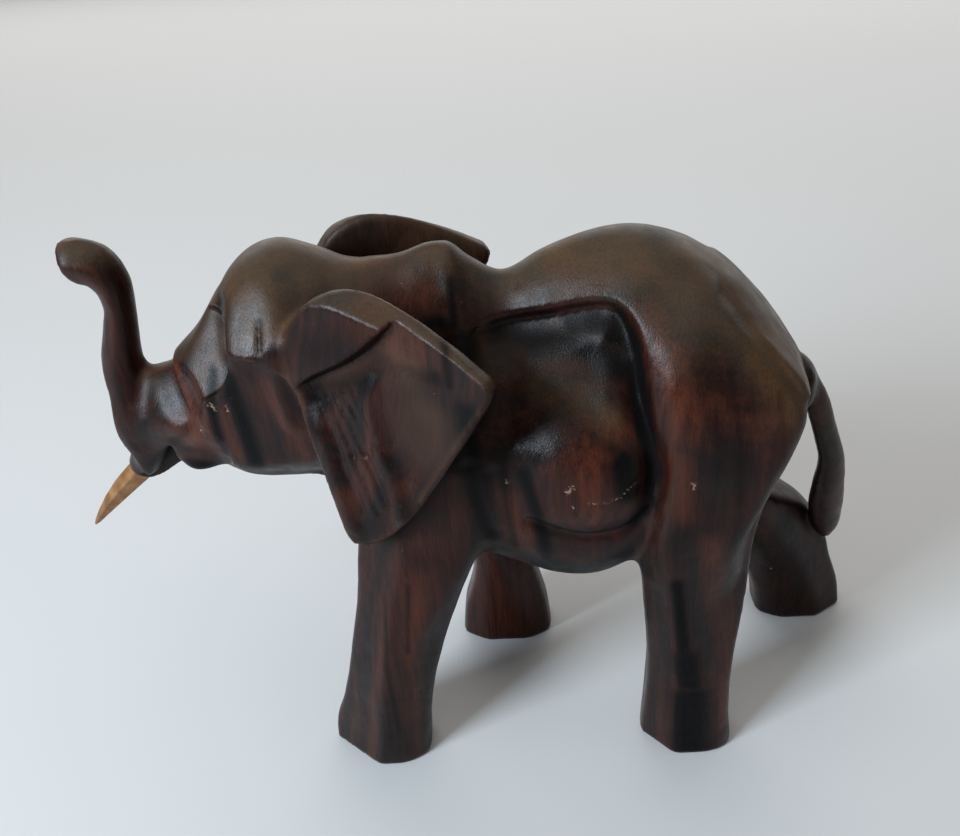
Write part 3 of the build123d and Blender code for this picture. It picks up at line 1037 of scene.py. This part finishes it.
def make_tusk():
    """A whittled spike of six uneven flats. Its profile holds shares of its length and radii."""
    root, tip = np.array(TUSK_ROOT), np.array(TUSK_TIP)
    axis = (tip - root) / np.linalg.norm(tip - root)
    across = np.cross(axis, [0.0, 1.0, 0.0])
    across = across / np.linalg.norm(across)
    over = np.cross(across, axis)
    length = np.linalg.norm(tip - root)
    corners = len(TUSK_UNEVEN)
    build = bmesh.new()
    rings = []
    for share, radius in TUSK_PROFILE:
        bend = TUSK_BEND * share * (1 - share) * 4
        middle = root + axis * share * length - across * bend
        ring = []
        for i, factor in enumerate(TUSK_UNEVEN):
            turn = 2 * pi * (i + 0.25) / corners + TUSK_TWIST * share
            spot = middle + radius * factor * (np.cos(turn) * across + np.sin(turn) * over)
            ring.append(build.verts.new(to_world(*spot)))
        rings.append(ring)
    for low, high in zip(rings[:-1], rings[1:]):
        for i in range(corners):
            j = (i + 1) % corners
            build.faces.new((low[i], low[j], high[j], high[i]))
    build.faces.new(rings[0][::-1])
    build.faces.new(rings[-1])
    bmesh.ops.recalc_face_normals(build, faces=build.faces)
    ways = {edge: (edge.verts[0].co - edge.verts[1].co).normalized() for edge in build.edges}
    long_edges = [edge for edge, way in ways.items() if abs(way @ Vector(axis)) > 0.8]
    bevel = TUSK_BEVEL * SCALE
    bmesh.ops.bevel(build, geom=long_edges, offset=bevel, segments=2, affect="EDGES", profile=0.5)
    mesh = bpy.data.meshes.new("tusk")
    build.to_mesh(mesh)
    build.free()
    piece = bpy.data.objects.new("tusk", mesh)
    bpy.context.collection.objects.link(piece)
    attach(piece, "root")
    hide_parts("tusk_right")
    mesh.materials.append(tusk_material())


# -------- materials


class Nodes:
    """Short ways to build a material's node tree. Textures are measured in millimetres."""

    def __init__(self, name):
        self.material = bpy.data.materials.new(name)
        self.material.use_nodes = True
        self.tree = self.material.node_tree
        self.shader = self.tree.nodes["Principled BSDF"]
        self.place = self.tree.nodes.new("ShaderNodeTexCoord").outputs["Object"]

    def put(self, socket, value):
        if isinstance(value, (int, float)):
            socket.default_value = value
        elif isinstance(value, tuple):
            socket.default_value = (*value, 1.0) if len(value) == 3 and socket.type == "RGBA" else value
        else:
            self.tree.links.new(value, socket)

    def noise(self, per_mm, detail=3.0, roughness=0.55, shift=(0.0, 0.0, 0.0)):
        """Uneven grey values. per_mm says how fast they change along x, y and z."""
        mapping = self.tree.nodes.new("ShaderNodeMapping")
        mapping.inputs["Scale"].default_value = [rate / SCALE for rate in per_mm]
        mapping.inputs["Location"].default_value = shift
        self.tree.links.new(self.place, mapping.inputs["Vector"])
        texture = self.tree.nodes.new("ShaderNodeTexNoise")
        texture.inputs["Scale"].default_value = 1.0
        texture.inputs["Detail"].default_value = detail
        texture.inputs["Roughness"].default_value = roughness
        self.tree.links.new(mapping.outputs["Vector"], texture.inputs["Vector"])
        return texture.outputs["Fac"]

    def attribute(self, name):
        node = self.tree.nodes.new("ShaderNodeAttribute")
        node.attribute_name = name
        return node.outputs["Fac"]

    def math(self, operation, a, b=0.0, clamp=False):
        node = self.tree.nodes.new("ShaderNodeMath")
        node.operation = operation
        node.use_clamp = clamp
        self.put(node.inputs[0], a)
        self.put(node.inputs[1], b)
        return node.outputs[0]

    def scaled(self, value, by):
        return self.math("MULTIPLY", value, by)

    def plus(self, a, b, by, clamp=False):
        """a, with b times a number added."""
        return self.math("ADD", a, self.scaled(b, by), clamp)

    def range(self, value, low, high, to_low=0.0, to_high=1.0):
        node = self.tree.nodes.new("ShaderNodeMapRange")
        self.put(node.inputs["Value"], value)
        for name, number in (("From Min", low), ("From Max", high), ("To Min", to_low), ("To Max", to_high)):
            node.inputs[name].default_value = number
        return node.outputs["Result"]

    def mix(self, share, a, b, kind="MIX"):
        node = self.tree.nodes.new("ShaderNodeMix")
        node.data_type = "RGBA"
        node.blend_type = kind
        sockets = {socket.name: socket for socket in node.inputs if socket.enabled}
        self.put(sockets["Factor"], share)
        self.put(sockets["A"], a)
        self.put(sockets["B"], b)
        return next(o for o in node.outputs if o.enabled)

    def blend(self, value, stops):
        node = self.tree.nodes.new("ShaderNodeValToRGB")
        ramp_stops = node.color_ramp.elements
        while len(ramp_stops) < len(stops):
            ramp_stops.new(0.5)
        for element, (at, colour) in zip(ramp_stops, stops):
            element.position = at
            element.color = (*colour, 1.0)
        self.put(node.inputs["Fac"], value)
        return node.outputs["Color"]

    def bump(self, height, depth_mm, strength, under=None):
        node = self.tree.nodes.new("ShaderNodeBump")
        node.inputs["Strength"].default_value = strength
        node.inputs["Distance"].default_value = depth_mm * SCALE
        self.put(node.inputs["Height"], height)
        if under is not None:
            self.tree.links.new(under, node.inputs["Normal"])
        return node.outputs["Normal"]


VEIN_AND_SHADE_BLACK = (0.0045, 0.0036, 0.0038)
WARM_RED = (0.112, 0.027, 0.012)
PORE_BLACK = (0.006, 0.004, 0.004)
PAINTED_SHADE_BLACK = (0.006, 0.0045, 0.004)
# Dust mixed with a painted sheen, laid on the tops.
DUST_AND_SHEEN_GREY, DUST_AND_SHEEN_BROWN = (0.080, 0.061, 0.039), (0.112, 0.060, 0.026)
WORN_EDGE = (0.095, 0.045, 0.028)
BARE_WOOD = (0.26, 0.16, 0.10)


def heartwood(n, streaks):
    """Layers stand side by side across Y, and the streaks in them run up Z."""
    layers = n.noise((0.030, 0.42, 0.022), detail=3.0, shift=(1.3, 0.4, 2.0))
    tone = n.plus(n.scaled(layers, 0.62), streaks, 0.38)
    return n.blend(
        n.range(tone, 0.36, 0.64),
        [
            (0.00, (0.0045, 0.0026, 0.0024)),
            (0.30, (0.0110, 0.0038, 0.0030)),
            (0.62, (0.0260, 0.0070, 0.0045)),
            (1.00, (0.0500, 0.0140, 0.0075)),
        ],
    )


def wood_colour(n, streaks, fibres, pores):
    """Heartwood with warm veins, black veins mixed with painted shade, dust with a painted sheen on the tops,
    dark pores, painted shade in hollows and underneath, pale worn edges and chips.
    """
    mottle = n.noise((0.07, 0.07, 0.05), detail=2.0, shift=(4.0, 1.0, 7.0))
    warm = n.math("MULTIPLY", n.attribute("warm"), n.range(streaks, 0.35, 0.6, 0.35, 1.0), clamp=True)
    colour = n.mix(n.scaled(warm, 0.85), heartwood(n, streaks), WARM_RED)
    # Black veins, with painted shade along the listed dark strokes.
    ragged = n.plus(n.attribute("dark"), n.math("SUBTRACT", streaks, 0.5), 1.1)
    colour = n.mix(n.range(ragged, 0.30, 0.75), colour, VEIN_AND_SHADE_BLACK)
    # The tops get dust mixed with a painted sheen.
    dust_and_sheen = n.math("MULTIPLY", n.attribute("dust_and_sheen"), n.range(mottle, 0.3, 0.65, 0.45, 1.0), clamp=True)
    dust_and_sheen = n.math("MULTIPLY", dust_and_sheen, n.range(n.attribute("dark"), 0.1, 0.8, 1.0, 0.1))
    dust_and_sheen_colour = n.mix(n.range(mottle, 0.38, 0.62), DUST_AND_SHEEN_GREY, DUST_AND_SHEEN_BROWN)
    colour = n.mix(n.scaled(dust_and_sheen, 0.78), colour, dust_and_sheen_colour)
    lines = n.blend(fibres, [(0.30, (0.35, 0.35, 0.35)), (0.70, (1.0, 1.0, 1.0))])
    colour = n.mix(0.55, colour, lines, "MULTIPLY")
    colour = n.mix(n.scaled(pores, 0.5), colour, PORE_BLACK)
    # Painted shade in hollows and on the undersides.
    colour = n.mix(n.range(n.attribute("shade"), 0.25, 0.8, 0.0, 0.8), colour, PAINTED_SHADE_BLACK)
    colour = n.mix(n.range(n.attribute("edge"), 0.35, 0.9, 0.0, 0.30), colour, WORN_EDGE)
    nicks = n.noise((1.6, 1.6, 1.6), detail=2.0, roughness=0.7, shift=(6.0, 4.0, 2.0))
    chip = n.plus(n.attribute("chip"), n.math("SUBTRACT", nicks, 0.5), 2.4)
    return n.mix(n.range(chip, 0.55, 0.9), colour, BARE_WOOD)


def wood_roughness(n, fibres):
    """Hand-rubbed, uneven, and duller where dust and painted sheen lie, and where shade is painted in
    hollows.
    """
    patches = n.noise((0.22, 0.22, 0.12), detail=2.0, shift=(2.0, 5.0, 3.0))
    rough = n.range(patches, 0.3, 0.7, 0.24, 0.40)
    rough = n.plus(rough, n.math("SUBTRACT", fibres, 0.5), 0.25)
    rough = n.plus(rough, n.attribute("dust_and_sheen"), 0.10)
    return n.plus(rough, n.attribute("shade"), 0.25, clamp=True)


def wood_relief(n, fibres, pores):
    """Raised fibres, fine scratches and sunk pores."""
    relief = n.bump(fibres, 0.08, 0.8)
    scratches = n.noise((1.1, 1.1, 6.0), detail=2.0, roughness=0.7, shift=(3.0, 8.0, 5.0))
    relief = n.bump(scratches, 0.012, 0.6, under=relief)
    return n.bump(n.math("SUBTRACT", 1.0, pores), 0.03, 0.6, under=relief)


def wood_material():
    """Dark rosewood-like timber."""
    n = Nodes("dark_wood")
    streaks = n.noise((0.55, 0.60, 0.030), detail=4.0, roughness=0.6)
    fibres = n.noise((2.6, 2.6, 0.16), detail=3.0, roughness=0.65)
    pores = n.range(n.noise((3.6, 3.6, 0.34), detail=1.0, shift=(9.0, 2.0, 1.0)), 0.66, 0.74)
    dull = n.math("MAXIMUM", n.scaled(n.attribute("dark"), 0.8), n.attribute("shade"))
    n.put(n.shader.inputs["Base Color"], wood_colour(n, streaks, fibres, pores))
    n.put(n.shader.inputs["Roughness"], wood_roughness(n, fibres))
    n.put(n.shader.inputs["Specular IOR Level"], n.range(dull, 0.1, 0.75, 0.20, 0.07))
    n.put(n.shader.inputs["Normal"], wood_relief(n, fibres, pores))
    return n.material


def tusk_material():
    """Pale dry timber with long fibres and grime in its pores."""
    n = Nodes("tusk_wood")
    fibres = n.noise((0.9, 2.6, 0.9), detail=3.0, roughness=0.6)
    pores = n.range(n.noise((1.4, 2.8, 1.4), detail=2.0, shift=(3.0, 1.0, 2.0)), 0.58, 0.72)
    patches = n.noise((0.25, 0.3, 0.25), detail=2.0, shift=(7.0, 2.0, 4.0))
    colour = n.blend(
        n.range(patches, 0.3, 0.7),
        [
            (0.0, (0.17, 0.070, 0.018)),
            (0.5, (0.26, 0.118, 0.034)),
            (1.0, (0.345, 0.178, 0.060)),
        ],
    )
    lines = n.blend(fibres, [(0.3, (0.55, 0.5, 0.42)), (0.7, (1.0, 1.0, 1.0))])
    colour = n.mix(0.45, colour, lines, "MULTIPLY")
    colour = n.mix(n.scaled(pores, 0.55), colour, (0.14, 0.075, 0.03))
    n.put(n.shader.inputs["Base Color"], colour)
    n.put(n.shader.inputs["Roughness"], n.range(fibres, 0.3, 0.7, 0.42, 0.6))
    n.put(n.shader.inputs["Specular IOR Level"], 0.3)
    n.put(n.shader.inputs["Normal"], n.bump(fibres, 0.06, 0.8))
    return n.material


FLOOR_HALF_SIZE = 3.0  # metres


def make_floor():
    """A plain pale floor under the soles."""
    mesh = bpy.data.meshes.new("floor")
    build = bmesh.new()
    bmesh.ops.create_grid(build, x_segments=1, y_segments=1, size=FLOOR_HALF_SIZE)
    build.to_mesh(mesh)
    build.free()
    floor = bpy.data.objects.new("floor", mesh)
    bpy.context.collection.objects.link(floor)
    floor.location.z = CAD_BOX[0].z
    material = bpy.data.materials.new("floor")
    material.use_nodes = True
    shader = material.node_tree.nodes["Principled BSDF"]
    shader.inputs["Base Color"].default_value = (0.60, 0.60, 0.595, 1)
    shader.inputs["Roughness"].default_value = 0.55
    mesh.materials.append(material)


make_camera()
make_lights()
make_body()
make_tusk()
make_floor()
